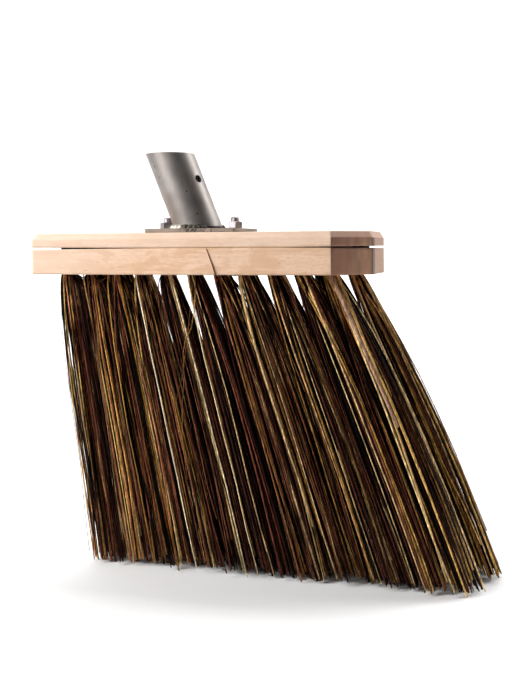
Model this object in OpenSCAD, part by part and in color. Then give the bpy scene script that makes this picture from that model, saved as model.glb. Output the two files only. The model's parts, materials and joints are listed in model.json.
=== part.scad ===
// Street broom head: two clamped wooden boards, two rows of raked fibre tufts and a leaning steel handle socket.
// Z is up from the floor under the bristle tips, X runs along the block and -Y is its front. Millimetres.

/* [Block] */
// Length of the wooden block
block_length = 250; // [240:1:320]
// Width of the wooden block
block_width = 72; // [64:1:90]
// Thickness of the lower board, which holds the tufts
tuft_board_thickness = 19; // [17:0.5:26]
// Thickness of the upper board, which covers the drawing wires
cover_thickness = 11; // [8:0.5:16]
// Leg of the cut at the front right corner
corner_cut = 24; // [0:1:28]
// Width of the bevel round the top edge
edge_bevel = 2.5; // [1:0.5:5]
// Height of the bevel round the top edge
edge_bevel_height = 4.5; // [1:0.5:6]
// Opening between the sprung boards at each end
end_gap = 1.5; // [0.2:0.1:2]
// Length over which the boards part at the left end
left_gap_run = 100; // [40:5:110]
// Length over which the boards part at the right end
right_gap_run = 60; // [40:5:110]

/* [Bristles] */
// Height of the block above the bristle tips
bristle_height = 210; // [150:5:260]
// Tufts in each of the two rows
tufts_per_row = 11; // [8:1:11]
// Distance between neighbouring tufts in a row
tuft_pitch = 20.2; // [18:0.1:22]
// Distance between the two rows
row_spacing = 34; // [32:1:40]
// Distance of the tuft field's middle from the block's middle
tuft_offset = 1; // [-3:0.5:3]
// Diameter of a tuft where it leaves the block
tuft_diameter = 11; // [9:0.5:12]
// Depth of a tuft's hole, along the tuft
tuft_hole_depth = 13; // [10:0.5:14]
// Distance that the tips under the block's middle lie to the right of it
tip_rake = 63; // [0:1:80]
// Spread of the tips along the block, against their roots
tip_stretch = 1.26; // [1:0.01:1.4]
// How much a strand leans more at its root than at its tip
fan_bow = 0.15; // [0:0.05:0.3]
// How soon a tuft opens out below its hole
tuft_flare = 4.5; // [1:0.5:6]
// Radius of a strand bundle at its root
strand_root_radius = 0.95; // [0.6:0.05:1]
// Radius of a strand bundle at its tip
strand_tip_radius = 1.3; // [0.8:0.05:1.4]

/* [Drawing wire] */
// Diameter of the wire that draws the tufts into the board
wire_diameter = 1.2; // [0.8:0.1:1.4]
// Diameter of the hole that the wire loop comes through
wire_hole_diameter = 4; // [3.6:0.1:5]
// Depth of the groove that each board has for the wire
wire_groove_depth = 0.8; // [0.8:0.1:1]
// Length of the wire's loose end to the left of its first loop
wire_lead = 2.5; // [1:0.5:4]
// Length of the wire's loose end to the right of its last loop
wire_tail = 20; // [4:1:20]

/* [Handle socket] */
// Outside diameter of the socket tube
tube_diameter = 33.7; // [30:0.1:36]
// Inside diameter of the tube as drawn
tube_bore = 29.1; // [26:0.1:31]
// Diameter of the seat reamed for the handle
handle_bore = 29.7; // [26:0.1:31.5]
// Lean of the tube to the left, in degrees from upright
socket_lean = 22; // [0:1:35]
// Height of the tube above the plate
socket_height = 55.7; // [45:0.1:80]
// Open root between the tube's right side and the plate
root_gap = 0.6; // [0.1:0.1:1.5]
// Distance of the tube's foot to the left of the plate's middle
tube_left = 1.7; // [0:0.1:4]
// Distance of the tube's foot in front of the plate's middle
tube_forward = 3; // [0:0.5:6]
// Diameter of the handle's screw hole
screw_hole_diameter = 6; // [3:0.5:7]
// Place of the screw hole along the tube, from its foot
screw_hole_along = 33; // [20:1:45]
// Turn of the screw hole from the tube's right side to its front, in degrees
screw_hole_turn = 21; // [0:1:90]
// Radius of a weld ripple
weld_radius = 3; // [2:0.1:4]

/* [Plate and bolts] */
// Length of the steel plate along the block
plate_length = 68; // [66:1:90]
// Width of the steel plate across the block
plate_width = 55; // [48:1:62]
// Thickness of the steel plate
plate_thickness = 3; // [2:0.5:5]
// Distance of the plate's middle from the block's middle
plate_offset = -4; // [-10:0.5:10]
// Distance of the bolts' middle from the block's middle
bolt_offset = -5; // [-6:0.5:-4.5]
// Distance between the two bolts
bolt_spacing = 53; // [53:0.5:58]
// Diameter of the bolts
bolt_diameter = 6; // [5:1:8]
// Length of the bolts under their heads
bolt_length = 40; // [38:1:45]
// Distance that the bolts stand out above the plate
bolt_above_plate = 8.7; // [6:0.1:10]
// Diameter of the bolts' domed heads
bolt_head_diameter = 16; // [12:0.5:18]
// Height of the bolts' domed heads
bolt_head_height = 3.5; // [3:0.1:4]
// Width of the nuts across their flats
nut_across_flats = 10; // [8:0.5:13]
// Height of the nuts
nut_height = 5; // [4:0.1:6.5]
// Turn of the left nut about its bolt, in degrees, with a flat to the tube
left_nut_turn = 23; // [13:1:33]
// Turn of the right nut about its bolt, in degrees
right_nut_turn = 49; // [0:1:60]

/* [Hidden] */
$fn = 48;
wood_colour = [0.90, 0.74, 0.57];
fibre_colour = [0.24, 0.15, 0.10];
tube_colour = [0.62, 0.60, 0.57];
plate_colour = [0.58, 0.56, 0.53];
zinc_colour = [0.36, 0.34, 0.37];
weld_colour = [0.45, 0.41, 0.37];
wire_colour = [0.50, 0.50, 0.50];

far = 400;
loose = 0.2;

seam_level = bristle_height + tuft_board_thickness;
block_top = seam_level + cover_thickness;
plate_top = block_top + plate_thickness;

block_outline = [
    [-block_length / 2, -block_width / 2],
    [block_length / 2 - corner_cut, -block_width / 2],
    [block_length / 2, corner_cut - block_width / 2],
    [block_length / 2, block_width / 2],
    [-block_length / 2, block_width / 2]
];

// Each tuft is a middle strand with an inner and an outer ring of strands round it.
inner_strands = 6;
outer_strands = 11;
strands_per_tuft = 1 + inner_strands + outer_strands;
outer_ring = tuft_diameter / 2 - strand_root_radius - 0.05;
inner_ring = outer_ring * 0.49;
tip_pitch = tuft_pitch * tip_stretch;
tip_row_spacing = row_spacing + 3;
tip_clearance = 0.2;
tip_ring_x = tip_pitch / 2 - strand_tip_radius - tip_clearance;
tip_ring_y = 13.5;
strand_root_depth = 4;
strand_neck = 0.004;
strand_levels = [-strand_root_depth / bristle_height, strand_neck, 0.17, 1];
strand_sides = 3;

tube_x = plate_offset - tube_left;
tube_y = -tube_forward;
foot_reach = tube_diameter / 2 / cos(socket_lean);
handle_seat = handle_bore / 2 * tan(socket_lean) + 0.4;
weld_ripple_turn = 9.5;

bolt_seat = plate_top + bolt_above_plate - bolt_length;
bolt_neck_height = 4;
bolt_sides = ["left", "right"];
row_names = ["front", "back"];

// The frame's origin is on the floor under the middle of the whole head.
right_reach = tip_x(root_x(1, tufts_per_row - 1)) + tip_ring_x + strand_tip_radius;
frame_x = (block_length / 2 - right_reach) / 2;

function row_side(row) = row == 0 ? -1 : 1;
function root_x(row, i) = tuft_offset + (i - (tufts_per_row - 1) / 2) * tuft_pitch + row_side(row) * tuft_pitch / 4;
function root_y(row) = row_side(row) * row_spacing / 2;
function tip_x(x) = tip_rake + tip_stretch * x;
function tip_y(row) = row_side(row) * tip_row_spacing / 2;

// How far a tuft has leaned over at a share of its height, 0 at the block and 1 at the tips
function fan(share) = share * (1 + fan_bow * (1 - share));

// How far its strands have opened out there, from the neck just below the block
function flare(share) = 1 - pow(1 - max(share - strand_neck, 0), tuft_flare);

function slope_x(row, i) = (tip_x(root_x(row, i)) - root_x(row, i)) * (1 + fan_bow) / bristle_height;
function slope_y(row) = (tip_y(row) - root_y(row)) * (1 + fan_bow) / bristle_height;
function tuft_lean(row, i) = atan(norm([slope_x(row, i), slope_y(row)]));
function tuft_heading(row, i) = atan2(-slope_y(row), -slope_x(row, i));

function strand_ring(s) = s == 0 ? 0 : s <= inner_strands ? inner_ring : outer_ring;
function strand_turn(s) =
    s == 0 ? 30
    : s <= inner_strands ? (s - 1) * 360 / inner_strands
    : (s - 1 - inner_strands) * 360 / outer_strands;

function blend(from, to, share) = from + (to - from) * share;

function strand_centre(row, i, s, share) = let (
    lean = fan(share),
    opened = flare(share),
    ring = strand_ring(s) / outer_ring,
    turn = strand_turn(s)
) [
    blend(root_x(row, i), tip_x(root_x(row, i)), lean) + ring * blend(outer_ring, tip_ring_x, opened) * cos(turn),
    blend(root_y(row), tip_y(row), lean) + ring * blend(outer_ring, tip_ring_y, opened) * sin(turn),
    bristle_height * (1 - share)
];

function strand_points(row, i, s) = [
    for (share = strand_levels)
        for (corner = [0 : strand_sides - 1])
            let (
                turn = strand_turn(s) + corner * 360 / strand_sides,
                radius = blend(strand_root_radius, strand_tip_radius, max(share, 0))
            )
            strand_centre(row, i, s, share) + radius * [cos(turn), sin(turn), 0]
];

last_ring = (len(strand_levels) - 1) * strand_sides;
strand_faces = concat(
    [[2, 1, 0], [last_ring, last_ring + 1, last_ring + 2]],
    [
        for (level = [0 : len(strand_levels) - 2])
            for (corner = [0 : strand_sides - 1])
                for (half = [0, 1])
                    let (
                        upper = level * strand_sides,
                        lower = upper + strand_sides,
                        next = (corner + 1) % strand_sides
                    )
                    half == 0
                        ? [upper + corner, upper + next, lower + next]
                        : [upper + corner, lower + next, lower + corner]
    ]
);

function tuft_name(row, i) = str("tuft_", row_names[row], i < 9 ? "_0" : "_", i + 1);
function bolt_x(side) = bolt_offset + (side == 0 ? -1 : 1) * bolt_spacing / 2;

module in_frame() {
    translate([frame_x, 0, 0])
        children();
}

module along_tuft(row, i) {
    translate([root_x(row, i), root_y(row), bristle_height])
        rotate([0, tuft_lean(row, i), tuft_heading(row, i)])
            children();
}

// A round length of a tuft or its hole, turned so that its seam line lies off the plane it leans in
module tuft_cylinder(diameter, from, to) {
    rotate([0, 0, 50])
        translate([0, 0, from])
            cylinder(d = diameter, h = to - from);
}

module along_tube() {
    translate([tube_x, tube_y, plate_top])
        rotate([0, -socket_lean, 0])
            children();
}

module below(level) {
    translate([-far, -far, level - far])
        cube([2 * far, 2 * far, far]);
}

module board(level, thickness) {
    translate([0, 0, level])
        linear_extrude(thickness)
            polygon(block_outline);
}

// Long wedges that part the boards at both ends, above the seam for the cover and below it for the tuft board
module end_wedges(way) {
    opening = way * end_gap / 2;
    left = -block_length / 2;
    right = block_length / 2;
    translate([0, far, seam_level])
        rotate([90, 0, 0])
            linear_extrude(2 * far) {
                polygon([[left - 1, -way], [left - 1, opening], [left, opening], [left + left_gap_run, 0], [left, -way]]);
                polygon([[right + 1, -way], [right + 1, opening], [right, opening], [right - right_gap_run, 0], [right, -way]]);
            }
}

module edge_bevels() {
    for (k = [0 : len(block_outline) - 1]) {
        from = block_outline[k];
        to = block_outline[(k + 1) % len(block_outline)];
        along = to - from;
        translate([from[0], from[1], block_top - edge_bevel_height])
            rotate([0, 0, atan2(along[1], along[0])])
                rotate([atan2(edge_bevel_height, edge_bevel), 0, 0])
                    translate([-far / 2, -far, 0])
                        cube([norm(along) + far, 2 * far, far]);
    }
}

module bolt_holes(diameter) {
    for (side = [0, 1])
        translate([bolt_x(side), 0, bristle_height - 1])
            cylinder(d = diameter, h = far);
}

module cover_board() {
    color(wood_colour)
        in_frame()
            difference() {
                board(seam_level, cover_thickness);
                edge_bevels();
                end_wedges(1);
                bolt_holes(bolt_diameter + 2 * loose);
                for (row = [0, 1])
                    wire_groove(row);
            }
}

module tuft_hole(row, i) {
    along_tuft(row, i) {
        tuft_cylinder(tuft_diameter + loose, -tuft_diameter, tuft_hole_depth);
        tuft_cylinder(wire_hole_diameter, 0, 2 * tuft_board_thickness);
    }
}

function wire_exit(row, i) = root_x(row, i) - slope_x(row, i) * tuft_board_thickness;
function wire_y(row) = root_y(row) - slope_y(row) * tuft_board_thickness;
function wire_start(row) = wire_exit(row, 0) - wire_lead;
function wire_end(row) = min(wire_exit(row, tufts_per_row - 1) + wire_tail, block_length / 2 - 7);

// The wire lies in the seam, half in each board.
module wire_groove(row) {
    room = 0.5;
    translate([wire_start(row) - room, wire_y(row) - wire_diameter, seam_level - wire_groove_depth])
        cube([wire_end(row) - wire_start(row) + 2 * room, 2 * wire_diameter, 2 * wire_groove_depth]);
}

module tuft_board() {
    color(wood_colour)
        in_frame()
            difference() {
                board(bristle_height, tuft_board_thickness);
                end_wedges(-1);
                bolt_holes(bolt_diameter + 2 * loose);
                for (side = [0, 1])
                    translate([bolt_x(side), 0, 0]) {
                        cylinder(d = bolt_head_diameter + 2 * loose, h = bolt_seat);
                        bolt_neck(loose);
                    }
                for (row = [0, 1]) {
                    wire_groove(row);
                    for (i = [0 : tufts_per_row - 1])
                        tuft_hole(row, i);
                }
            }
}

module socket_plate() {
    color(plate_colour)
        in_frame()
            difference() {
                translate([plate_offset - plate_length / 2, -plate_width / 2, block_top])
                    cube([plate_length, plate_width, plate_thickness]);
                bolt_holes(bolt_diameter + 2 * loose);
            }
}

// The tube is mitred at both ends, and its foot is cut a little out of true, which leaves the root open on the right.
module handle_socket() {
    color(tube_colour)
        in_frame()
            difference() {
                along_tube()
                    translate([0, 0, -tube_diameter])
                        cylinder(d = tube_diameter, h = far / 2);
                along_tube()
                    translate([0, 0, -2 * tube_diameter])
                        cylinder(d = tube_bore, h = far);
                along_tube()
                    translate([0, 0, handle_seat])
                        cylinder(d = handle_bore, h = far);
                along_tube()
                    rotate([0, 0, -screw_hole_turn])
                        translate([0, 0, screw_hole_along])
                            rotate([0, 90, 0])
                                cylinder(d = screw_hole_diameter, h = tube_diameter);
                translate([tube_x - foot_reach, 0, plate_top])
                    rotate([0, -atan(root_gap / (2 * foot_reach)), 0])
                        below(0);
                translate([0, 0, plate_top + socket_height + far])
                    below(0);
            }
}

// A pass of overlapping ripples round the tube's foot, between two turns counted from the right
module weld_pass(from, to, out) {
    for (turn = [from : weld_ripple_turn : to])
        translate([
            tube_x + (foot_reach + out) * cos(turn),
            tube_y + (tube_diameter / 2 + out) * sin(turn),
            plate_top
        ])
            sphere(r = weld_radius);
}

// The passes given to it as one bead that lies on the plate and against the tube
module weld_bead() {
    color(weld_colour)
        in_frame()
            difference() {
                intersection() {
                    union()
                        children();
                    translate([plate_offset - plate_length / 2, -plate_width / 2, plate_top])
                        cube([plate_length, plate_width, 2 * weld_radius]);
                }
                along_tube()
                    translate([0, 0, -tube_diameter])
                        cylinder(d = tube_diameter, h = far / 2);
            }
}

module weld_front() {
    weld_bead() {
        weld_pass(195, 302, 0);
        weld_pass(236, 288, 1.4 * weld_radius);
    }
}

module weld_back() {
    weld_bead()
        weld_pass(38, 142, 0);
}

module bolt_neck(room) {
    width = bolt_diameter + 2 * room;
    translate([-width / 2, -width / 2, bolt_seat - 1])
        cube([width, width, 1 + bolt_neck_height + room]);
}

module bolt(side) {
    dome_radius = (pow(bolt_head_diameter / 2, 2) + pow(bolt_head_height, 2)) / (2 * bolt_head_height);
    lead = 0.8;
    color(zinc_colour)
        in_frame()
            translate([bolt_x(side), 0, 0])
                union() {
                    intersection() {
                        translate([0, 0, bolt_seat - bolt_head_height + dome_radius])
                            sphere(r = dome_radius);
                        translate([0, 0, bolt_seat - bolt_head_height])
                            cylinder(d = 2 * bolt_head_diameter, h = bolt_head_height);
                    }
                    bolt_neck(0);
                    translate([0, 0, bolt_seat - 1])
                        cylinder(d = bolt_diameter, h = bolt_length + 1 - lead);
                    translate([0, 0, bolt_seat + bolt_length - lead])
                        cylinder(d1 = bolt_diameter, d2 = bolt_diameter - 2 * lead, h = lead);
                }
}

module nut(side) {
    across_corners = nut_across_flats / cos(30);
    color(zinc_colour)
        in_frame()
            translate([bolt_x(side), 0, plate_top])
                difference() {
                    intersection() {
                        rotate([0, 0, side == 0 ? left_nut_turn : right_nut_turn])
                            cylinder(d = across_corners, h = nut_height, $fn = 6);
                        cylinder(d1 = across_corners + 2 * nut_height, d2 = nut_across_flats, h = nut_height);
                    }
                    translate([0, 0, -1])
                        cylinder(d = bolt_diameter + loose, h = nut_height + 2);
                }
}

// One wire draws a whole row: it lies in the groove and dips through every hole in a loop that holds the tuft's fold.
module wire(row) {
    leg = 0.9;
    leg_diameter = wire_diameter - 0.2;
    loop_depth = 2.2;
    color(wire_colour)
        in_frame()
            union() {
                translate([wire_start(row), wire_y(row), seam_level])
                    rotate([0, 90, 0])
                        rotate([0, 0, 180])
                            cylinder(d = wire_diameter, h = wire_end(row) - wire_start(row));
                for (i = [0 : tufts_per_row - 1])
                    along_tuft(row, i) {
                        lean = tuft_lean(row, i);
                        bottom = tuft_hole_depth - loop_depth;
                        for (side = [-1, 1]) {
                            top = (tuft_board_thickness + side * leg * sin(lean)) / cos(lean);
                            translate([side * leg, 0, bottom])
                                cylinder(d = leg_diameter, h = top - bottom);
                        }
                        translate([0, 0, bottom])
                            rotate([-90, 0, 0])
                                rotate_extrude(angle = 180)
                                    translate([leg, 0])
                                        circle(d = leg_diameter);
                    }
            }
}

// The folded root fills its hole, with a pocket for the wire loop, and ends level with the board.
module tuft_root(row, i) {
    loop_room = 3.6;
    difference() {
        along_tuft(row, i)
            difference() {
                tuft_cylinder(tuft_diameter, -tuft_diameter, tuft_hole_depth - loose);
                tuft_cylinder(wire_hole_diameter, tuft_hole_depth - loop_room, far);
            }
        below(bristle_height);
    }
}

module strand(row, i, s) {
    polyhedron(points = strand_points(row, i, s), faces = strand_faces);
}

module tuft(row, i) {
    color(fibre_colour)
        in_frame()
            union() {
                tuft_root(row, i);
                for (s = [0 : strands_per_tuft - 1])
                    strand(row, i, s);
            }
}

cover_board();
tuft_board();
socket_plate();
handle_socket();
weld_front();
weld_back();
for (side = [0, 1]) {
    bolt(side);
    nut(side);
}
for (row = [0, 1]) {
    wire(row);
    for (i = [0 : tufts_per_row - 1])
        tuft(row, i);
}
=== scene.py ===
import json
import math
import random

import bpy
from mathutils import Matrix, Vector


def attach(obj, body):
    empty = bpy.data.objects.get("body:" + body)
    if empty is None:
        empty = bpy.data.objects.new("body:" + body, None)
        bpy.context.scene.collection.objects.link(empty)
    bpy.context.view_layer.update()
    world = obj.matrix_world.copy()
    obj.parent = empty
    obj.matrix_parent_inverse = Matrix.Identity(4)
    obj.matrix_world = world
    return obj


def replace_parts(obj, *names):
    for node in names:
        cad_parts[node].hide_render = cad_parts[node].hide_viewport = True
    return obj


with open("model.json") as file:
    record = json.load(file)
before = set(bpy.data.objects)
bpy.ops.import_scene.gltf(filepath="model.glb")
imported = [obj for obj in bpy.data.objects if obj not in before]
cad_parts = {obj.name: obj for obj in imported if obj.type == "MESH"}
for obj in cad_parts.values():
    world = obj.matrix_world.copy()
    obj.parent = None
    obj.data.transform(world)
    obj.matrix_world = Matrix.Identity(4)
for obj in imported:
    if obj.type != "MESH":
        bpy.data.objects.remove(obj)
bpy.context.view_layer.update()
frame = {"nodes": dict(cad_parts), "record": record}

MM = 0.001

# The head's main sizes, in millimetres, as the solids have them. BLOCK_X is the middle of the block's length.
BLOCK_X = -42.7045
BLOCK_LENGTH = 250
BLOCK_WIDTH = 72
BLOCK_FRONT = -BLOCK_WIDTH / 2
CORNER_CUT = 24
BRISTLE_HEIGHT = 210
SEAM_LEVEL = 229
BLOCK_TOP = 240
PLATE_FRONT = -27.5
PLATE_TOP = 243
TUBE_FOOT = (-5.7 + BLOCK_X, -3.0, PLATE_TOP)
TUBE_LEAN = math.radians(22)
BOLT_X = {"left": -31.5 + BLOCK_X, "right": 21.5 + BLOCK_X}
BOLT_RADIUS = 3.0
NUT_TOP = 248
TUFTS_PER_ROW = 11
TUFT_PITCH = 20.2
TUFT_OFFSET = 1
TUFT_RADIUS = 5.2
ROW_SPACING = 34
TIP_ROW_SPACING = 37
TIP_RAKE = 63
TIP_STRETCH = 1.26
TIP_REACH_X = 11.8
TIP_REACH_Y = 14.0
FAN_BOW = 0.15

# Where the looks change, in millimetres: each pair runs from the start of a change to its end
WOOD_PAINTED_LIGHT_X = (-70, -160)
WOOD_PALE_Z = (SEAM_LEVEL, SEAM_LEVEL + 1)
EDGE_PAINTED_SHADE = (0.2, 0.9)
END_PAINTED_SHADE = (6, 12)
SEAM_INSIDE_SHADE = (1.6, 2.0)
SEAM_SHADOW_LINE = (0.15, 0.5)
SEAM_LEFT_X = (-105, -150)
SEAM_RIGHT_X = (0, 55)
TUBE_ROOT_SHADOW_Z = (PLATE_TOP + 1.4, PLATE_TOP + 1.9)
TUBE_ROOT_SHADOW_X = (-47, -44)
TUBE_BORE_SHADE = (15.0, 16.2)
PLATE_EDGE_Z = (BLOCK_TOP + 0.9, BLOCK_TOP)
WELD_BRIGHT_X = (-52, -55)

# Marks on the surfaces, in millimetres: the place, the radii along X, Y and Z, and the softness of each
WOOD_MARKS = [
    ((-96.5, BLOCK_FRONT, 215.6), (3.2, 1.5, 0.55), 0.7),
    ((-113.9, BLOCK_FRONT, 219.2), (2.2, 1.5, 0.4), 0.8),
    ((-124.0, BLOCK_FRONT, 213.0), (2.6, 1.5, 0.4), 0.8),
    ((22.0, BLOCK_FRONT, 218.5), (2.4, 1.5, 0.4), 0.8),
]
WOOD_STAINS = [
    ((-16.0, BLOCK_FRONT, 218.0), (5.0, 2.0, 9.0), 0.9),
]
TUBE_PITS = [
    ((-77.6, -16.6, 288.7), (0.9, 0.9, 1.5), 0.8),
    ((-73.3, -17.2, 280.6), (1.0, 0.8, 0.8), 0.8),
    ((-52.0, -18.4, 269.9), (1.0, 0.9, 0.9), 0.8),
    ((-43.9, -17.7, 253.7), (1.6, 1.0, 1.1), 0.8),
    ((-67.7, -15.5, 260.4), (0.7, 0.7, 0.9), 0.8),
]
PLATE_BURNS = [
    ((-45.0, PLATE_FRONT, 241.0), (9.0, 9.0, 6.0), 0.7),
    ((-53.0, -24.0, PLATE_TOP), (6.0, 7.0, 4.0), 0.8),
    ((-36.5, -26.0, 242.5), (4.0, 6.0, 4.0), 0.8),
]
PLATE_RUST = [
    ((-12.7, PLATE_FRONT, 241.0), (1.6, 1.0, 3.0), 0.8),
    ((-30.1, PLATE_FRONT, 241.2), (0.7, 1.0, 2.2), 0.6),
]


def linear(red, green, blue, alpha=1.0):
    """A screen colour from 0 to 255 as the renderer's own colour."""
    out = []
    for value in (red, green, blue):
        share = value / 255
        out.append(share / 12.92 if share <= 0.04045 else ((share + 0.055) / 1.055) ** 2.4)
    return (*out, alpha)


class Shader:
    """A new node material with short calls to build it. A mask is a share from 0 to 1 on the surface."""

    def __init__(self, name):
        self.material = bpy.data.materials.new(name)
        self.material.use_nodes = True
        self.tree = self.material.node_tree
        self.surface = self.tree.nodes["Principled BSDF"]

    def node(self, kind, inputs=None, **settings):
        """A new node, with a value or a link for each input that is given."""
        made = self.tree.nodes.new("ShaderNode" + kind)
        for key, value in settings.items():
            setattr(made, key, value)
        for key, value in (inputs or {}).items():
            self.put(made.inputs[key], value)
        return made

    def put(self, socket, value):
        """Link a socket to another, or set its value."""
        if isinstance(value, bpy.types.NodeSocket):
            self.tree.links.new(value, socket)
        else:
            socket.default_value = value

    def surface_is(self, **values):
        """Set the surface's inputs, named with _ for each space."""
        for key, value in values.items():
            self.put(self.surface.inputs[key.replace("_", " ")], value)

    def place(self):
        """Where a point of the surface is, in metres."""
        return self.node("TexCoord").outputs["Object"]

    def axes(self):
        """The place, axis by axis."""
        return self.node("SeparateXYZ", {"Vector": self.place()}).outputs

    def bearing(self):
        """The way that the surface faces, axis by axis."""
        return self.node("SeparateXYZ", {"Vector": self.node("NewGeometry").outputs["Normal"]}).outputs

    def noise(self, scale, detail, roughness=0.55, distortion=0.0, lean=0.0):
        """Clouds, with their number to the metre along X, Y and Z, leaning about Y."""
        stretched = self.node("Mapping", {"Vector": self.place(), "Rotation": (0, lean, 0), "Scale": scale})
        made = self.node(
            "TexNoise",
            {
                "Vector": stretched.outputs["Vector"],
                "Scale": 1.0,
                "Detail": detail,
                "Roughness": roughness,
                "Distortion": distortion,
            },
        )
        return made.outputs["Fac"]

    def math(self, operation, *values):
        """A sum with values or links."""
        made = self.node("Math", operation=operation)
        for k, value in enumerate(values):
            self.put(made.inputs[k], value)
        return made.outputs[0]

    def fade(self, value, low, high, start=0.0, end=1.0):
        """A smooth change from start to end while the value goes from low to high."""
        made = self.node(
            "MapRange",
            {"Value": value, "From Min": low, "From Max": high, "To Min": start, "To Max": end},
            interpolation_type="SMOOTHSTEP",
        )
        return made.outputs["Result"]

    def fade_mm(self, value, low, high, start=0.0, end=1.0):
        """A fade of a place or a distance, with its ends in millimetres."""
        return self.fade(value, low * MM, high * MM, start, end)

    def off(self, value, level):
        """How far a place is from a level in millimetres, on either side."""
        return self.math("ABSOLUTE", self.math("SUBTRACT", value, level * MM))

    def any_of(self, masks):
        """The strongest of the masks."""
        out = masks[0]
        for mask in masks[1:]:
            out = self.math("MAXIMUM", out, mask)
        return out

    def both(self, first, second):
        """The place where two masks meet, or a mask made weaker by a number."""
        return self.math("MULTIPLY", first, second)

    def spot(self, centre, radii, softness):
        """A mask that is 1 at a place in millimetres and falls to 0 at the radii along X, Y and Z."""
        centre_m = [c * MM for c in centre]
        per_radius = [1 / (r * MM) for r in radii]
        moved = self.node("VectorMath", {0: self.place(), 1: centre_m}, operation="SUBTRACT")
        sized = self.node("VectorMath", {0: moved.outputs[0], 1: per_radius}, operation="MULTIPLY")
        reach = self.node("VectorMath", {0: sized.outputs[0]}, operation="LENGTH").outputs["Value"]
        return self.fade(reach, 1 - softness, 1.0, 1.0, 0.0)

    def spots(self, marks):
        """One mask for a list of marks."""
        return self.any_of([self.spot(*mark) for mark in marks])

    def mix(self, share, first, second, blend="MIX"):
        """The first colour with a share of the second."""
        made = self.node("Mix", data_type="RGBA", blend_type=blend)
        self.put(made.inputs["Factor"], share)
        self.put(made.inputs[6], first)
        self.put(made.inputs[7], second)
        return made.outputs[2]

    def stain(self, tint, mask, strength, colour):
        """The tint with a colour over it, at the mask and as strong as given."""
        return self.mix(self.both(mask, strength), tint, colour)

    def bump(self, height, distance_mm, strength, rounding_mm=0):
        """Fine relief, and edges that are rounded in their shading alone."""
        made = self.node("Bump", {"Height": height, "Distance": distance_mm * MM, "Strength": strength})
        if rounding_mm:
            rounded = self.node("Bevel", {"Radius": rounding_mm * MM}, samples=8)
            self.put(made.inputs["Normal"], rounded.outputs["Normal"])
        self.put(self.surface.inputs["Normal"], made.outputs["Normal"])


def beech_grain(s, broad, streak, flecks):
    """The wood's colour: bands, streaks, pores and patches, paler on the cover board, and paler at the left
    end as painted light.
    """
    axes = s.axes()
    fine = s.noise((70, 1900, 1900), detail=3)
    dashes = s.fade(s.noise((190, 1000, 1000), detail=3, roughness=0.6), 0.5, 0.68)
    patches = s.noise((34, 50, 90), detail=4, roughness=0.6, distortion=0.8)
    tint = s.mix(s.fade(broad, 0.3, 0.7), linear(234, 194, 162), linear(244, 210, 183))
    tint = s.mix(s.fade(streak, 0.45, 0.75, 0.0, 0.65), tint, linear(222, 174, 134))
    tint = s.mix(s.fade(fine, 0.4, 0.8, 0.0, 0.3), tint, linear(214, 170, 134))
    tint = s.stain(tint, dashes, 0.4, linear(212, 160, 124))
    tint = s.stain(tint, flecks, 0.55, linear(182, 128, 90))
    tint = s.mix(s.fade(patches, 0.44, 0.62, 0.0, 0.7), tint, linear(219, 176, 140))
    # Painted light: the wood is paler towards the left end, where the key light falls strongest; the cover
    # board is paler as well
    painted_light_and_pale_cover = s.any_of(
        [
            s.fade_mm(axes["X"], *WOOD_PAINTED_LIGHT_X, 0.0, 0.45),
            s.fade_mm(axes["Z"], *WOOD_PALE_Z, 0.0, 0.40),
        ]
    )
    return s.mix(painted_light_and_pale_cover, tint, linear(245, 219, 200))


def beech_ends(s, tint):
    """The sawn face across the corner, with painted shade towards the front face; the end grain; a painted
    shade line on the edge between them; and a lighter bevel, with a painted highlight over the facet and the
    end.
    """
    axes = s.axes()
    bearing = s.bearing()

    facet = s.fade(s.math("SUBTRACT", bearing["X"], bearing["Y"]), 1.05, 1.2)
    facet_end = BLOCK_LENGTH / 2 + BLOCK_X
    along_facet = s.fade_mm(axes["X"], facet_end - CORNER_CUT, facet_end)
    # Painted shade: the facet is darker towards the front face and lighter towards the end face
    facet_painted_shade = s.mix(along_facet, linear(186, 133, 108), linear(222, 170, 139))
    sawn = s.noise((160, 160, 60), detail=4)
    facet_tint = s.mix(s.fade(sawn, 0.35, 0.7, 0.0, 0.5), facet_painted_shade, linear(146, 106, 86))
    tint = s.stain(tint, facet, 0.9, facet_tint)

    end_grain = s.fade(s.math("ABSOLUTE", bearing["X"]), 0.8, 0.9)
    pores = s.noise((900, 500, 900), detail=3, roughness=0.7)
    end_tint = s.mix(s.fade(pores, 0.4, 0.7), linear(184, 146, 122), linear(159, 118, 93))
    tint = s.stain(tint, end_grain, 0.9, end_tint)

    # Painted shade: a dark line on the edge between the facet and the end face, fading out 6 to 12 mm onto
    # the end face
    corner_y = BLOCK_FRONT + CORNER_CUT
    edge_painted_shade = s.both(
        s.fade_mm(s.off(axes["Y"], corner_y), *EDGE_PAINTED_SHADE, 1.0, 0.0),
        s.fade(bearing["X"], 0.5, 0.6),
    )
    end_painted_shade = s.both(
        s.fade_mm(axes["Y"], corner_y + END_PAINTED_SHADE[0], corner_y + END_PAINTED_SHADE[1], 1.0, 0.0),
        s.fade(bearing["X"], 0.9, 0.97),
    )
    below_bevel = s.fade(bearing["Z"], 0.2, 0.4, 1.0, 0.0)
    corner_painted_shade = s.both(s.any_of([edge_painted_shade, end_painted_shade]), below_bevel)
    tint = s.stain(tint, corner_painted_shade, 0.8, linear(84, 46, 34))

    bevel = s.both(s.fade(bearing["Z"], 0.3, 0.42), s.fade(bearing["Z"], 0.8, 0.95, 1.0, 0.0))
    tint = s.stain(tint, bevel, 0.1, linear(248, 226, 208))
    # Painted highlight: the bevel over the facet and the end face is lightened, as light from above falls on
    # it
    bevel_painted_light = s.both(bevel, s.any_of([facet, end_grain]))
    return s.stain(tint, bevel_painted_light, 0.6, linear(255, 206, 180))


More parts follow.
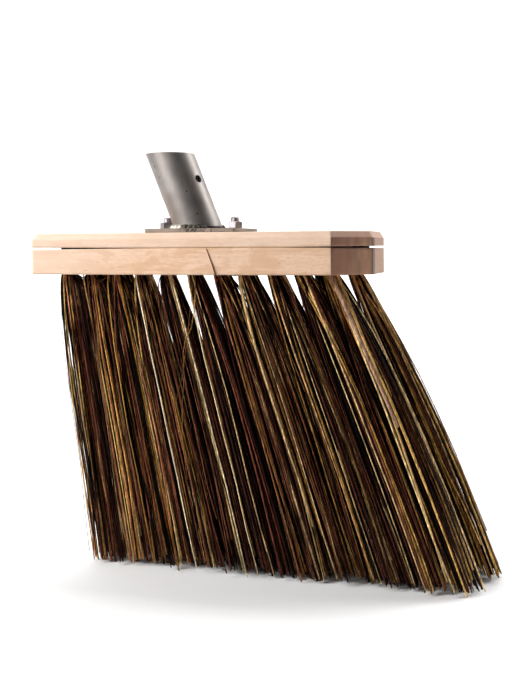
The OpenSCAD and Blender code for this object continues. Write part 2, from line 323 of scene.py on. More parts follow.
def beech_joint(s, tint, broad):
    """The seam between the boards: painted shade inside it, and a fine painted shadow line on their sides,
    darker near the ends.
    """
    axes = s.axes()
    facing_up = s.math("ABSOLUTE", s.bearing()["Z"])
    off_seam = s.off(axes["Z"], SEAM_LEVEL)
    # Painted shade inside the seam, on the faces that look up or down into it
    inside = s.both(s.fade(facing_up, 0.9, 0.98), s.fade_mm(off_seam, *SEAM_INSIDE_SHADE, 1.0, 0.0))
    tint = s.stain(tint, inside, 0.55, linear(62, 38, 26))
    upright = s.fade(facing_up, 0.7, 0.9, 1.0, 0.0)
    # Painted shadow: a fine dark line along the joint on the boards' sides
    joint_painted_shadow = s.both(upright, s.fade_mm(off_seam, *SEAM_SHADOW_LINE, 1.0, 0.0))
    joint_painted_shadow = s.both(joint_painted_shadow, s.fade(broad, 0.25, 0.6, 0.45, 0.85))
    left_end = s.fade_mm(axes["X"], *SEAM_LEFT_X)
    right_end = s.fade_mm(axes["X"], *SEAM_RIGHT_X)
    joint_shadow_tint = s.mix(s.any_of([left_end, right_end]), linear(214, 160, 110), linear(140, 98, 70))
    return s.mix(joint_painted_shadow, tint, joint_shadow_tint)


def beech():
    """The boards' wood, with its grain along the block."""
    s = Shader("beech")
    broad = s.noise((9, 120, 120), detail=5, distortion=0.6)
    streak = s.noise((22, 520, 520), detail=6, roughness=0.65)
    flecks = s.fade(s.noise((260, 1500, 1500), detail=2), 0.62, 0.72)
    tint = beech_grain(s, broad, streak, flecks)
    tint = beech_ends(s, tint)
    tint = beech_joint(s, tint, broad)
    tint = s.stain(tint, s.spots(WOOD_MARKS), 0.5, linear(168, 112, 76))
    tint = s.stain(tint, s.spots(WOOD_STAINS), 0.2, linear(190, 138, 96))
    s.surface_is(Base_Color=tint, Roughness=s.fade(streak, 0.3, 0.8, 0.55, 0.7), Specular_IOR_Level=0.25)
    s.bump(s.math("ADD", streak, s.both(flecks, -0.8)), 0.1, 0.5, rounding_mm=2.5)
    return s.material


def tube_steel():
    """Drawn tube: lines along it, pits, a painted shadow for the open root gap beside the weld, and a bore
    painted dark as shade.
    """
    s = Shader("tube_steel")
    axes = s.axes()
    cloud = s.noise((60, 60, 60), detail=4)
    lines = s.noise((500, 500, 14), detail=3, roughness=0.5, lean=TUBE_LEAN)
    dust = s.noise((700, 700, 700), detail=3)
    pits = s.spots(TUBE_PITS)
    tint = s.mix(s.fade(cloud, 0.3, 0.7), linear(152, 145, 141), linear(169, 162, 158))
    tint = s.mix(s.fade(lines, 0.4, 0.8, 0.0, 0.2), tint, linear(132, 120, 110))
    tint = s.stain(tint, pits, 0.8, linear(58, 48, 42))
    # Painted shadow: the open root gap under the tube's foot, right of the weld
    root = s.fade_mm(axes["Z"], *TUBE_ROOT_SHADOW_Z, 1.0, 0.0)
    right_of_weld = s.fade_mm(axes["X"], *TUBE_ROOT_SHADOW_X)
    tint = s.stain(tint, s.both(root, right_of_weld), 0.95, linear(22, 17, 15))

    # Painted shade: the bore inside the tube is darkened, and made less metallic
    foot_m = [c * MM for c in TUBE_FOOT]
    axis_way = (-math.sin(TUBE_LEAN), 0.0, math.cos(TUBE_LEAN))
    from_foot = s.node("VectorMath", {0: s.place(), 1: foot_m}, operation="SUBTRACT")
    across = s.node("VectorMath", {0: from_foot.outputs[0], 1: axis_way}, operation="CROSS_PRODUCT")
    off_axis = s.node("VectorMath", {0: across.outputs[0]}, operation="LENGTH").outputs["Value"]
    inside = s.fade_mm(off_axis, *TUBE_BORE_SHADE, 1.0, 0.0)
    tint = s.stain(tint, inside, 0.96, linear(20, 17, 15))
    s.surface_is(
        Base_Color=tint,
        Metallic=s.fade(inside, 0.0, 1.0, 0.82, 0.2),
        Roughness=s.fade(s.math("ADD", cloud, s.both(dust, 0.5)), 0.4, 1.1, 0.44, 0.54),
    )
    s.bump(s.math("SUBTRACT", s.both(lines, 0.2), s.both(pits, 4.0)), 0.03, 0.5)
    return s.material


def plate_steel():
    """Rolled plate: burnt round the weld, with two rusty places and a dark lower edge."""
    s = Shader("plate_steel")
    axes = s.axes()
    cloud = s.noise((80, 80, 80), detail=5)
    dust = s.noise((700, 700, 700), detail=3)
    tint = s.mix(s.fade(cloud, 0.3, 0.7), linear(138, 126, 115), linear(164, 151, 139))
    burnt = s.both(s.spots(PLATE_BURNS), s.fade(dust, 0.35, 0.6))
    tint = s.mix(burnt, tint, linear(46, 36, 31))
    tint = s.stain(tint, s.spots(PLATE_RUST), 0.8, linear(92, 56, 36))
    lower_edge = s.fade_mm(axes["Z"], *PLATE_EDGE_Z)
    tint = s.stain(tint, lower_edge, 0.8, linear(48, 38, 32))
    s.surface_is(
        Base_Color=tint,
        Metallic=s.fade(burnt, 0.1, 0.8, 0.65, 0.1),
        Roughness=s.fade(dust, 0.3, 0.7, 0.48, 0.62),
    )
    s.bump(dust, 0.05, 0.6)
    return s.material


def weld_steel():
    """Weld bead: scorched scale, and bright metal at the left end."""
    s = Shader("weld_steel")
    scale_marks = s.noise((420, 420, 420), detail=4)
    bright = s.fade_mm(s.axes()["X"], *WELD_BRIGHT_X)
    scorched = s.mix(s.fade(scale_marks, 0.4, 0.7), linear(30, 24, 20), linear(112, 100, 88))
    tint = s.mix(bright, scorched, linear(206, 196, 184))
    s.surface_is(Base_Color=tint, Metallic=0.4, Roughness=s.fade(scale_marks, 0.3, 0.7, 0.4, 0.7))
    s.bump(scale_marks, 0.25, 0.8)
    return s.material


def zinc_steel():
    """Zinc on the bolts and nuts, with dark grit."""
    s = Shader("zinc_steel")
    cloud = s.noise((160, 160, 160), detail=3)
    grit = s.noise((1400, 1400, 1400), detail=2)
    tint = s.mix(s.fade(cloud, 0.3, 0.7), linear(184, 178, 182), linear(216, 210, 214))
    tint = s.mix(s.fade(grit, 0.55, 0.75, 0.0, 0.35), tint, linear(92, 82, 84))
    s.surface_is(Base_Color=tint, Metallic=1.0, Roughness=s.fade(cloud, 0.3, 0.7, 0.28, 0.40))
    s.bump(grit, 0.02, 0.4)
    return s.material


def wire_steel():
    """Dull drawing wire."""
    s = Shader("wire_steel")
    cloud = s.noise((300, 300, 300), detail=3)
    tint = s.mix(s.fade(cloud, 0.35, 0.65), linear(74, 62, 54), linear(120, 112, 104))
    s.surface_is(Base_Color=tint, Metallic=0.9, Roughness=s.fade(cloud, 0.3, 0.7, 0.4, 0.6))
    return s.material


def fibre():
    """Bristles: each fibre's own colour, darkened by grime as far as its alpha says, with light flakes."""
    s = Shader("fibre")
    own = s.node("VertexColor", layer_name="fibre_tint").outputs
    along = s.noise((420, 420, 26), detail=5, roughness=0.6)
    mottle = s.noise((260, 260, 70), detail=4, roughness=0.7)
    flakes = s.noise((1300, 1300, 380), detail=3, roughness=0.7)
    grime = [
        (s.fade(along, 0.3, 0.62, 0.75, 0.0), (0.06, 0.04, 0.04, 1.0)),
        (s.fade(mottle, 0.52, 0.72, 0.0, 0.6), (0.10, 0.07, 0.06, 1.0)),
        (s.fade(flakes, 0.5, 0.72, 0.0, 0.5), (0.10, 0.07, 0.06, 1.0)),
    ]
    tint = own["Color"]
    for mask, darkening in grime:
        tint = s.mix(s.both(mask, own["Alpha"]), tint, darkening, "MULTIPLY")
    tint = s.mix(s.fade(flakes, 0.30, 0.48, 1.0, 0.0), tint, (2.2, 2.1, 2.0, 1.0), "MULTIPLY")
    s.surface_is(Base_Color=tint, Roughness=s.fade(flakes, 0.3, 0.7, 0.45, 0.65), Specular_IOR_Level=0.08)
    s.bump(flakes, 0.08, 0.5)
    return s.material


MATERIALS = {
    "beech": beech(),
    "tube_steel": tube_steel(),
    "plate_steel": plate_steel(),
    "weld_steel": weld_steel(),
    "zinc_steel": zinc_steel(),
    "wire_steel": wire_steel(),
    "fibre": fibre(),
}

for part in frame["record"]["subparts"]:
    mesh = frame["nodes"][part["node"]].data
    mesh.materials.clear()
    mesh.materials.append(MATERIALS[part["material_slot"]])


def new_piece(name, points, faces, slot):
    """A mesh piece from points in millimetres, riding on the head."""
    mesh = bpy.data.meshes.new(name)
    mesh.from_pydata([Vector(p) * MM for p in points], [], faces)
    mesh.materials.append(MATERIALS[slot])
    mesh.shade_smooth()
    piece = bpy.data.objects.new(name, mesh)
    bpy.context.scene.collection.objects.link(piece)
    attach(piece, "root")
    return piece


# Bristle colours from dark to light, with how often each one comes inside a tuft and round its outside; the
# darker mix inside is painted shade in the tuft's core
FIBRE_TINTS = [
    (linear(5, 2, 2), 54, 30),
    (linear(48, 20, 14), 22, 20),
    (linear(104, 57, 42), 14, 20),
    (linear(142, 88, 62), 7, 14),
    (linear(150, 110, 54), 3, 6),
    (linear(208, 166, 96), 3, 8),
    (linear(246, 212, 150), 2, 6),
]
FIRST_BROWN = 2
FIRST_GOLD = 4
GOLD_SHADE = 1.3
TINT_SHADE = (0.75, 1.7)
TINT_LIMIT = 0.95

# How the tufts' colours change along the block: the first ones are lighter, as painted light, and have more
# gold; the rest are painted dimmer
LEFT_TUFTS = 4
RIGHT_TUFTS_FROM = 7
LEFT_PAINTED_LIGHT_POWER = 0.65
PAINTED_DIM = 0.86
GOLD = (0.7, 1.5)
LEFT_GOLD = 1.4
MIDDLE_GOLD = 1.1
RIGHT_GOLD = 1.2

# The way of every fibre, by shares of its length: levels, the swell below the board, bow, waves and kinks
FIBRE_LEVELS = [-0.04, 0.0, 0.014, 0.035, 0.07, 0.12, 0.19, 0.28, 0.4, 0.54, 0.7, 0.85, 1.0]
EXIT_SWELL = 0.14
EXIT_SWELL_RATE = 70
BOW_SPREAD = 0.1
WAVE_RATE = 7
KINK = (0, 0.7)
KINK_RATE = 23
KINK_PHASE = 3
FULL_TURN = 2 * math.pi
FIBRE_CORNERS = ((1, 0), (0, 1), (-1, 0), (0, -1))
FACING_TILT = 0.05

# A tuft's own fibres, in millimetres. Pairs are ranges, and a spread is that of a bell curve.
FIBRES_PER_TUFT = 116
GOLDEN_ANGLE = 2.39996
FIBRE_TURN = (-0.2, 0.2)
FIBRE_REACH = (0.85, 1.1)
FIBRE_HALF_WIDTH = (0.42, 0.78)
FIBRE_FLATNESS = (0.5, 0.9)
FIBRE_FLARE = (2.0, 5.2)
FIBRE_WAVE = (0.3, 2.3)
FIBRE_TIP_SHARE = 0.95
TIP_TURN_SPREAD = 0.6
TIP_SPREAD_X = 4.2
TIP_SPREAD_Y = 1.6
TIP_LEVEL_SPREAD = 3.0
TIP_LEVEL_LEAST = 0.2
TRIM = (0, 3.5)
SHORT_CHANCE = 0.05
SHORT_BY = (5, 40)
BROAD_CHANCE = 0.2
BROAD_HALF_WIDTH = (0.65, 1.0)
BROAD_HALF_THICKNESS = (0.3, 0.5)
FIRST_TUFT_LEFT_REACH = 0.8
LAST_TUFT_RIGHT_REACH = 10.5

# The thin fibres that wander from each tuft's skin
LOOSE_PER_TUFT = 4
SKIN = 0.95
LOOSE_REACH_X = 16
LOOSE_REACH_Y = 15
LOOSE_SPREAD_X = 5
LOOSE_LIMIT_X = 9
LOOSE_LEVEL = (0.2, 16)
LOOSE_FLARE = (2, 6)
LOOSE_WAVE = (0.8, 2.2)
LOOSE_HALF_WIDTH = 0.34
LOOSE_HALF_THICKNESS = 0.3
LOOSE_TINTS = (1, 2, 3, 4)

# The dark fibres that fill gaps
FILL_TURN = (-1.1, 1.1)
FILL_SPREAD_Y = 7
FILL_LEVEL = (0.2, 5)
FILL_FLARE = (0.3, 1)
FILL_WAVE = (0.3, 1.2)
FILL_HALF_WIDTH = (0.4, 0.7)
FILL_HALF_THICKNESS = 0.4
FILL_TINTS = (0, 0, 1, 1, 2)

# The broad blades, and the strays that have a path of their own
BLADE_ROOT_Y = -5.4
BLADE_WAVE = 0.4
BLADE_HALF_THICKNESS = 0.45
BLADE_TIP_SHARE = 0.45
STRAY_FLATNESS = 0.8
STRAY_FACING = 0.4
STRAY_TIP_SHARE = 0.4

# In the tables below, a row and a number from 0 at the left name a tuft.
# Tufts that sit otherwise in their holes: their width against the others', and the shift along the block
TUFT_FIT = {
    ("back", 2): (0.6, -1.9),
    ("back", 3): (0.6, -2.1),
    ("back", 4): (0.72, -1.3),
    ("back", 9): (1.35, -2.6),
    ("front", 7): (1.1, 0.6),
    ("front", 8): (1.12, 0.9),
    ("front", 9): (1.08, 0.3),
}
TIP_SHIFT = 0.6

# Dark fibres that spread early into the gaps beside a tuft: side, least and most reach, haste and number
FILLS = {
    ("front", 0): [(1, 8, 15, 40, 26), (-1, 3, 9, 14, 14)],
    ("front", 1): [(1, 8, 15, 34, 18), (-1, 6, 12, 40, 16)],
    ("front", 2): [(1, 8, 15, 30, 9)],
    ("front", 4): [(-1, 4, 9, 34, 16)],
    ("front", 6): [(1, 8, 15, 24, 4), (-1, 3, 7, 34, 8)],
    ("front", 8): [(1, 8, 15, 12, 6)],
    ("front", 9): [(1, 8, 15, 14, 10)],
}

# Broad flat fibres at the front: where each leaves and ends, from the tuft's middle, and its end's height
BLADES = {
    ("front", 0): [
        {"at": 4.6, "to": 10.5, "end": 3, "width": 1.8, "tint": linear(80, 42, 28)},
        {"at": -1.0, "to": -6.0, "end": 5, "width": 0.6, "tint": linear(214, 176, 104, 0.4), "flare": 3},
    ],
    ("front", 1): [
        {"at": -5.0, "to": 0.0, "end": 3, "width": 0.65, "tint": linear(228, 192, 116, 0.4), "flare": 2},
    ],
    ("front", 2): [
        {"at": 3.0, "to": 8.0, "end": 1, "width": 1.2, "tint": linear(140, 100, 34)},
        {"at": -5.0, "to": -10.5, "end": 6, "width": 0.65, "tint": linear(196, 156, 76, 0.4), "flare": 4},
    ],
    ("front", 3): [
        {"at": -3.0, "to": -3.0, "end": 4, "width": 0.7, "tint": linear(255, 238, 204, 0.4), "flare": 3},
    ],
    ("front", 4): [
        {"at": 3.6, "to": 8.0, "end": 1, "width": 1.0, "tint": linear(230, 206, 160)},
    ],
    ("front", 5): [
        {"at": -2.6, "to": -9.0, "end": 3, "width": 0.65, "tint": linear(248, 222, 172, 0.4), "flare": 4},
    ],
    ("front", 7): [
        {"at": -4.0, "to": -8.0, "end": 40, "width": 1.6, "tint": linear(206, 170, 118)},
    ],
    ("front", 8): [
        {"at": -2.0, "to": -3.0, "end": 8, "width": 0.8, "tint": linear(222, 176, 118)},
    ],
    ("front", 9): [
        {"at": 2.0, "to": 4.0, "end": 4, "width": 0.9, "tint": linear(232, 192, 136)},
    ],
    ("front", 10): [
        {"at": 1.0, "to": 2.5, "end": 110, "width": 2.4, "tint": linear(186, 146, 118)},
        {"at": 5.2, "to": -5.0, "end": 11, "width": 1.2, "tint": linear(200, 162, 106, 0.4), "flare": 1.5},
    ],
    ("back", 10): [
        {"at": -1.5, "to": -1.0, "end": 14, "width": 1.4, "tint": linear(226, 182, 132, 0.3), "out": -34},
        {"at": 4.6, "to": 9.0, "end": 6, "width": 0.8, "tint": linear(226, 184, 132)},
    ],
}

# Single fibres that have sprung out of their tufts, with their paths in the frame
STRAYS = {
    ("front", 0): [
        {
            "path": [
                (-149.5, -20, 212), (-149.8, -22, 204), (-149.0, -24, 190), (-147.3, -25, 167),
                (-144.4, -25, 138), (-140.0, -25, 109), (-134.2, -25, 71), (-128.0, -25, 35),
                (-123.0, -25, 3),
            ],
            "width": 0.85,
            "tint": linear(60, 30, 20),
        },
        {
            "path": [
                (-145.0, -21, 212), (-142.8, -23, 208.6), (-140.6, -24.5, 206.3),
                (-136.5, -25, 202.2), (-132.5, -25, 200.0), (-129.9, -25, 197.5),
            ],
            "width": 0.2,
            "tint": linear(112, 62, 42),
        },
    ],
    ("front", 1): [
        {
            "path": [
                (-123.0, -21, 212), (-119.8, -23, 204.6), (-117.6, -24, 204.2),
                (-115.2, -25, 206.4), (-111.9, -25, 207.2), (-109.5, -24.5, 206.0),
            ],
            "width": 0.2,
            "tint": linear(172, 130, 90),
        },
    ],
    ("front", 5): [
        {
            "path": [
                (-45.0, -21, 212), (-43.0, -25, 200), (-41.5, -31, 186), (-42.9, -33.5, 173),
                (-47.3, -34, 164), (-48.9, -34.5, 155), (-48.2, -34.5, 138), (-49.8, -34.5, 118),
                (-50.0, -34.5, 96), (-46.5, -34, 66),
            ],
            "width": 0.45,
            "tint": linear(172, 130, 68),
        },
        {
            "path": [
                (-47.0, -21, 212), (-45.0, -27, 196), (-46.0, -33, 168), (-49.0, -35, 140),
                (-55.1, -35.2, 118), (-60.5, -35.2, 104), (-69.0, -35, 94), (-77.5, -35, 86.4),
            ],
            "width": 0.28,
            "tint": linear(150, 92, 60),
        },
    ],
    ("front", 6): [
        {
            "path": [
                (-26.5, -19, 212), (-24.9, -27, 207), (-23.4, -35.2, 205.2), (-23.2, -37.1, 207.5),
                (-24.1, -36.7, 211), (-25.7, -36.5, 216), (-27.7, -36.4, 221), (-29.2, -36.4, 225),
                (-30.6, -36.3, 228.4),
            ],
            "width": 0.62,
            "tint": linear(112, 46, 30, 0.5),
        },
    ],
}


class Bundle:
    """Fibres gathered into one mesh, each with its own colour."""

    def __init__(self):
        self.points = []
        self.faces = []
        self.tints = []

    def add(self, path, half_width, half_thickness, facing, tint, tip_share=FIBRE_TIP_SHARE):
        """A flat four-sided fibre along a path, narrower at its free end."""
        sides = len(FIBRE_CORNERS)
        first = len(self.points)
        last = len(path) - 1
        for k, point in enumerate(path):
            ahead = (path[min(k + 1, last)] - path[max(k - 1, 0)]).normalized()
            side = ahead.cross(Vector((math.cos(facing), math.sin(facing), FACING_TILT))).normalized()
            over = ahead.cross(side)
            size = 1 + (tip_share - 1) * k / last
            for across, up in FIBRE_CORNERS:
                offset = side * (across * half_width * size) + over * (up * half_thickness * size)
                self.points.append(point + offset)
                self.tints.append(tint)
            if k:
                here = first + sides * k
                before = here - sides
                for c in range(sides):
                    n = (c + 1) % sides
                    self.faces.append((before + c, before + n, here + n, here + c))
        end = first + sides * last
        self.faces.append(tuple(reversed(range(first, first + sides))))
        self.faces.append(tuple(range(end, end + sides)))

    def make(self, name):
        piece = new_piece(name, self.points, self.faces, "fibre")
        layer = piece.data.color_attributes.new("fibre_tint", "FLOAT_COLOR", "POINT")
        layer.data.foreach_set("color", [value for tint in self.tints for value in tint])
        return piece


def heading(turn):
    """The level direction at an angle from X."""
    return Vector((math.cos(turn), math.sin(turn), 0))


def row_side(row):
    """The side of the block that a row is on, along Y."""
    return -1 if row == "front" else 1


def root_of(row, i):
    """The middle of a tuft where it leaves the board."""
    x = TUFT_OFFSET + (i - (TUFTS_PER_ROW - 1) / 2) * TUFT_PITCH + row_side(row) * TUFT_PITCH / 4
    return Vector((x + BLOCK_X, row_side(row) * ROW_SPACING / 2, BRISTLE_HEIGHT))


def tip_of(row, i):
    """The middle of a tuft at its tips, which the rake carries to the right."""
    x = root_of(row, i).x - BLOCK_X
    return Vector((TIP_RAKE + TIP_STRETCH * x + BLOCK_X, row_side(row) * TIP_ROW_SPACING / 2, 0))


def fibre_path(row, i, root_offset, tip_offset, tip_level, flare, wave, rng):
    """A fibre that leans with its tuft, spreads early from the tuft's middle, waves and ends at its level."""
    root_middle = root_of(row, i)
    tip_middle = tip_of(row, i)
    bow = FAN_BOW + rng.uniform(-BOW_SPREAD, BOW_SPREAD)
    swing_way = heading(rng.uniform(0, FULL_TURN))
    phase = rng.uniform(0, FULL_TURN)
    kink = rng.uniform(*KINK)
    length = 1 - tip_level / BRISTLE_HEIGHT
    out = []
    for level in FIBRE_LEVELS:
        share = level * length
        below = max(share, 0)
        place = root_middle.lerp(tip_middle, share * (1 + bow * (1 - share)))
        place += root_offset.lerp(tip_offset, 1 - (1 - below) ** flare)
        place += root_offset * (EXIT_SWELL * (1 - math.exp(-EXIT_SWELL_RATE * below)) * (1 - below))
        swing = wave * below * math.sin(phase + WAVE_RATE * share)
        swing += kink * below * math.sin(KINK_PHASE * phase + KINK_RATE * share)
        place += swing_way * swing
        place.z = BRISTLE_HEIGHT * (1 - share)
        out.append(place)
    return out


def fit_to_hole(row, i, root_offset, tip_offset):
    """Move a fibre's two ends to suit how its tuft sits in its hole, and give the tuft's width there."""
    width, shift = TUFT_FIT.get((row, i), (1, 0))
    root_offset.x = root_offset.x * width + shift
    tip_offset.x = tip_offset.x * (1 + width) / 2 + shift * TIP_SHIFT
    return width


def gold_of(i):
    """How much more gold a tuft has than the colours' own numbers say."""
    if i < LEFT_TUFTS:
        return LEFT_GOLD
    return MIDDLE_GOLD if i < RIGHT_TUFTS_FROM else RIGHT_GOLD


def pick_tint(i, out, gold, rng):
    """A fibre's place among the colours, and its own shade: darker inside the tuft as painted shade, lighter
    round the outside of the tuft, and lighter in the first tufts as painted light.
    """
    # Painted light: the first tufts get lighter shades and more brown and gold fibres, and the rest a dimmer
    # shade, for the key light that falls strongest on the left end
    light = 1 + max(0, LEFT_TUFTS - i) / LEFT_TUFTS
    painted_dim = 1 if i < LEFT_TUFTS else PAINTED_DIM
    weights = []
    for k, (_, inside, outside) in enumerate(FIBRE_TINTS):
        # Painted shade: more dark fibres inside the tuft, where the shade falls
        weight = inside + (outside - inside) * out
        weight *= light if k >= FIRST_BROWN else 1
        weights.append(weight * gold if k >= FIRST_GOLD else weight)
    choice = rng.choices(range(len(FIBRE_TINTS)), weights)[0]
    shade = rng.uniform(*TINT_SHADE) * light ** LEFT_PAINTED_LIGHT_POWER * painted_dim
    shade *= GOLD_SHADE if choice >= FIRST_GOLD else 1
    colour = FIBRE_TINTS[choice][0]
    shade = min(shade, TINT_LIMIT / max(colour[:3]))
    return choice, tuple(c * shade for c in colour[:3]) + (1.0,)


def own_fibre(bundle, row, i, k, gold, trim, rng):
    """The k-th of a tuft's own fibres, which wind from its middle to its outside."""
    out = math.sqrt((k + 0.5) / FIBRES_PER_TUFT)
    turn = k * GOLDEN_ANGLE + rng.uniform(*FIBRE_TURN)
    root_offset = heading(turn) * (out * TUFT_RADIUS)
    tip_turn = turn + rng.gauss(0, TIP_TURN_SPREAD)
    tip_offset = Vector((math.cos(tip_turn) * TIP_REACH_X, math.sin(tip_turn) * TIP_REACH_Y, 0))
    tip_offset *= out * rng.uniform(*FIBRE_REACH)
    tip_offset += Vector((rng.gauss(0, TIP_SPREAD_X), rng.gauss(0, TIP_SPREAD_Y), 0))
    if (row, i) == ("front", 0) and tip_offset.x < 0:
        tip_offset.x *= FIRST_TUFT_LEFT_REACH
    if (row, i) == ("back", TUFTS_PER_ROW - 1):
        tip_offset.x = min(tip_offset.x, LAST_TUFT_RIGHT_REACH)
    tip_level = max(TIP_LEVEL_LEAST, trim + abs(rng.gauss(0, TIP_LEVEL_SPREAD)))
    if rng.random() < SHORT_CHANCE:
        tip_level += rng.uniform(*SHORT_BY)
    choice, tint = pick_tint(i, out, gold, rng)
    width = rng.uniform(*FIBRE_HALF_WIDTH)
    thickness = width * rng.uniform(*FIBRE_FLATNESS)
    facing = rng.uniform(0, math.pi)
    if choice >= FIRST_GOLD and rng.random() < BROAD_CHANCE:
        width = rng.uniform(*BROAD_HALF_WIDTH)
        thickness = rng.uniform(*BROAD_HALF_THICKNESS)
        facing = turn
    fit = fit_to_hole(row, i, root_offset, tip_offset)
    flare = rng.uniform(*FIBRE_FLARE) * min(fit, 1)
    wave = rng.uniform(*FIBRE_WAVE)
    path = fibre_path(row, i, root_offset, tip_offset, tip_level, flare, wave, rng)
    bundle.add(path, width, thickness, facing, tint)


def loose_fibre(bundle, row, i, rng):
    """A thin fibre that leaves a tuft's skin and wanders from it."""
    turn = rng.uniform(0, FULL_TURN)
    reach = heading(turn)
    tip_x = reach.x * LOOSE_REACH_X + rng.gauss(0, LOOSE_SPREAD_X)
    tip_x = max(-LOOSE_LIMIT_X, min(tip_x, LOOSE_LIMIT_X))
    root_offset = reach * (TUFT_RADIUS * SKIN)
    tip_offset = Vector((tip_x, reach.y * LOOSE_REACH_Y, 0))
    fit_to_hole(row, i, root_offset, tip_offset)
    tip_level = rng.uniform(*LOOSE_LEVEL)
    flare = rng.uniform(*LOOSE_FLARE)
    wave = rng.uniform(*LOOSE_WAVE)
    path = fibre_path(row, i, root_offset, tip_offset, tip_level, flare, wave, rng)
    tint = FIBRE_TINTS[rng.choice(LOOSE_TINTS)][0]
    bundle.add(path, LOOSE_HALF_WIDTH, LOOSE_HALF_THICKNESS, turn, tint)


def fill(bundle, row, i, tip_x, trim, haste, rng):
    """A dark fibre that leaves one side of a tuft and spreads early into the gap there."""
    turn = rng.uniform(*FILL_TURN) + (math.pi if tip_x < 0 else 0)
    root_offset = heading(turn) * (TUFT_RADIUS * SKIN)
    tip_offset = Vector((tip_x, rng.gauss(0, FILL_SPREAD_Y), 0))
    tip_level = trim + rng.uniform(*FILL_LEVEL)
    flare = rng.uniform(*FILL_FLARE) * haste
    wave = rng.uniform(*FILL_WAVE)
    path = fibre_path(row, i, root_offset, tip_offset, tip_level, flare, wave, rng)
    width = rng.uniform(*FILL_HALF_WIDTH)
    tint = FIBRE_TINTS[rng.choice(FILL_TINTS)][0]
    bundle.add(path, width, FILL_HALF_THICKNESS, turn, tint)


def blade(bundle, row, i, rng, at, to, end, width, tint, out=-16.5, flare=6):
    """A broad flat fibre on a tuft's front."""
    root_offset = Vector((at, BLADE_ROOT_Y, 0))
    tip_offset = Vector((to, out, 0))
    path = fibre_path(row, i, root_offset, tip_offset, end, flare, BLADE_WAVE, rng)
    bundle.add(path, width, BLADE_HALF_THICKNESS, -math.pi / 2, tint, BLADE_TIP_SHARE)


def stray(bundle, path, width, tint):
    """A sprung fibre along its own path."""
    points = [Vector(p) for p in path]
    bundle.add(points, width, width * STRAY_FLATNESS, STRAY_FACING, tint, STRAY_TIP_SHARE)


def tuft(row, i):
    """A tuft's fibres as one piece, in the place of the tuft's solid."""
    rng = random.Random(f"{row} {i}")
    bundle = Bundle()
    gold = rng.uniform(*GOLD) * gold_of(i)
    trim = rng.uniform(*TRIM)
    for k in range(FIBRES_PER_TUFT):
        own_fibre(bundle, row, i, k, gold, trim, rng)
    for _ in range(LOOSE_PER_TUFT):
        loose_fibre(bundle, row, i, rng)
    for side, least, most, haste, count in FILLS.get((row, i), []):
        for _ in range(count):
            fill(bundle, row, i, side * rng.uniform(least, most), trim, haste, rng)
    for given in BLADES.get((row, i), []):
        blade(bundle, row, i, rng, **given)
    for given in STRAYS.get((row, i), []):
        stray(bundle, **given)
    name = f"{row}_{i + 1:02d}"
    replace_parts(bundle.make("fibres_" + name), "tuft_" + name)


for row in ("front", "back"):
    for i in range(TUFTS_PER_ROW):
        tuft(row, i)


def bolt_thread(side):
    """The screw thread that shows on a bolt's end, above its nut."""
    pitch = 1.0
    turns = 3.1
    steps_per_turn = 24
    run_out_steps = 6
    run_out_least = 0.2
    start = NUT_TOP - 0.2
    flank_radius = BOLT_RADIUS - 0.1
    crest_height = 0.32
    half_ridge = 0.45
    corners = 3
    points = []
    faces = []
    count = int(turns * steps_per_turn)
    for k in range(count + 1):
        turn = FULL_TURN * k / steps_per_turn
        z = start + pitch * k / steps_per_turn
        swell = min(1, k / run_out_steps, (count - k) / run_out_steps)
        ridge = half_ridge * max(swell, run_out_least)
        crest_radius = BOLT_RADIUS + crest_height * swell
        for radius, up in ((flank_radius, -ridge), (crest_radius, 0.0), (flank_radius, ridge)):
            points.append((BOLT_X[side] + radius * math.cos(turn), radius * math.sin(turn), z + up))
        if k:
            above = corners * k
            below = above - corners
            for c in range(corners):
                n = (c + 1) % corners
                faces.append((below + c, above + c, above + n, below + n))
    end = corners * count
    faces.append(tuple(reversed(range(corners))))
    faces.append(tuple(range(end, end + corners)))
    new_piece("thread_" + side, points, faces, "zinc_steel")


for side in BOLT_X:
    bolt_thread(side)


def stage():
    """A white sweep, in metres: a floor that curves up into a backdrop."""
    depth_in_front = 0.32
    depth_behind = 1.4
    bend = 0.5
    bend_steps = 12
    half_width = 2.4
    height = 2.2
    profile = [(-depth_in_front, 0.0), (depth_behind, 0.0)]
    for k in range(1, bend_steps + 1):
        turn = math.pi / 2 * k / bend_steps
        profile.append((depth_behind + bend * math.sin(turn), bend - bend * math.cos(turn)))
    profile.append((depth_behind + bend, height))
    points = [(x, y, z) for y, z in profile for x in (-half_width, half_width)]
    faces = [(2 * k, 2 * k + 1, 2 * k + 3, 2 * k + 2) for k in range(len(profile) - 1)]
    mesh = bpy.data.meshes.new("sweep")
    mesh.from_pydata(points, [], faces)
    mesh.shade_smooth()
    paper = Shader("paper")
    paper.surface_is(Base_Color=(0.93, 0.93, 0.93, 1), Roughness=0.9, Specular_IOR_Level=0.1)
    mesh.materials.append(paper.material)
    sweep = bpy.data.objects.new("sweep", mesh)
    bpy.context.scene.collection.objects.link(sweep)
    return sweep


sweep = stage()


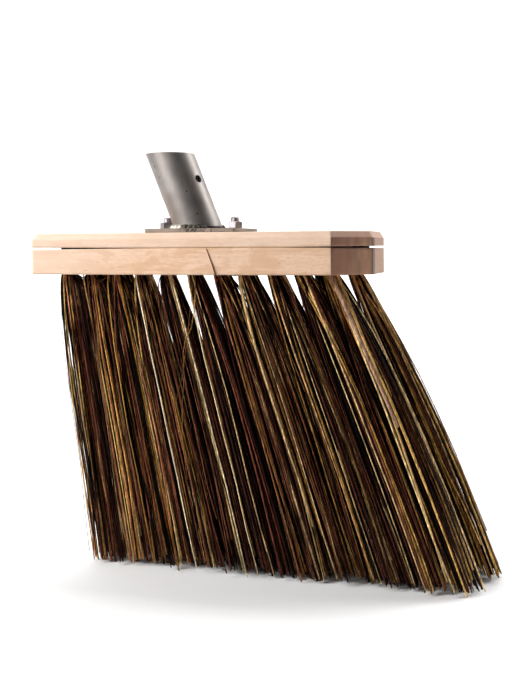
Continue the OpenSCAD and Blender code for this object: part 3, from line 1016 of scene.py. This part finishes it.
def lamp(name, place, target, size, power, spread, only=None):
    """A soft rectangular lamp, in metres, watts and degrees, for everything or for one object alone."""
    data = bpy.data.lights.new(name, "AREA")
    data.shape = "RECTANGLE"
    data.size, data.size_y = size
    data.energy = power
    data.spread = math.radians(spread)
    made = bpy.data.objects.new(name, data)
    made.location = place
    made.rotation_mode = "QUATERNION"
    made.rotation_quaternion = (Vector(target) - Vector(place)).to_track_quat("-Z", "Y")
    bpy.context.scene.collection.objects.link(made)
    if only:
        lit = bpy.data.collections.new(name + "_lit")
        lit.objects.link(only)
        made.light_linking.receiver_collection = lit


CEILING = {"place": (-0.4, 1.1, 2.0), "target": (-0.4, 1.1, 0.0), "size": (4.0, 1.6)}

lamp("key", (-0.72, -0.50, 0.66), (-0.08, 0.0, 0.20), size=(0.5, 0.6), power=2.85, spread=70)
lamp("side", (0.95, 0.70, 1.05), (-0.02, 0.0, 0.26), size=(0.6, 0.6), power=1.7, spread=75)
lamp("left_side", (-1.4, 0.35, 0.6), (-0.05, 0.0, 0.2), size=(0.8, 1.0), power=0.8, spread=120)
lamp("overhead", **CEILING, power=22, spread=80)
lamp("paper_wash", **CEILING, power=41, spread=80, only=sweep)
lamp("backdrop_wash", (-0.4, 0.9, 1.5), (-0.4, 2.0, 0.75), size=(3.5, 0.5), power=7, spread=120)

world = bpy.data.worlds.new("studio")
bpy.context.scene.world = world
world.use_nodes = True
world.node_tree.nodes["Background"].inputs["Color"].default_value = (1, 1, 1, 1)
world.node_tree.nodes["Background"].inputs["Strength"].default_value = 1.0
world.cycles_visibility.diffuse = False
world.cycles_visibility.glossy = False

bpy.context.scene.view_settings.view_transform = "Standard"


def camera():
    """The photograph's camera: level, with its picture shifted down to the head."""
    place = Vector((192.27, -642.43, 229.35)) * MM
    azimuth = math.radians(16.54)
    roll = math.radians(0.33)
    data = bpy.data.cameras.new("camera")
    data.sensor_width = 36
    data.lens = 48.49
    data.shift_y = -0.14
    data.clip_start = 0.02
    made = bpy.data.objects.new("camera", data)
    ahead = Vector((-math.sin(azimuth), math.cos(azimuth), 0))
    level = Vector((math.cos(azimuth), math.sin(azimuth), 0))
    up = Vector((0, 0, 1))
    right = level * math.cos(roll) - up * math.sin(roll)
    above = up * math.cos(roll) + level * math.sin(roll)
    turn = Matrix((right, above, -ahead)).transposed().to_4x4()
    made.matrix_world = Matrix.Translation(place) @ turn
    bpy.context.scene.collection.objects.link(made)
    bpy.context.scene.camera = made


camera()
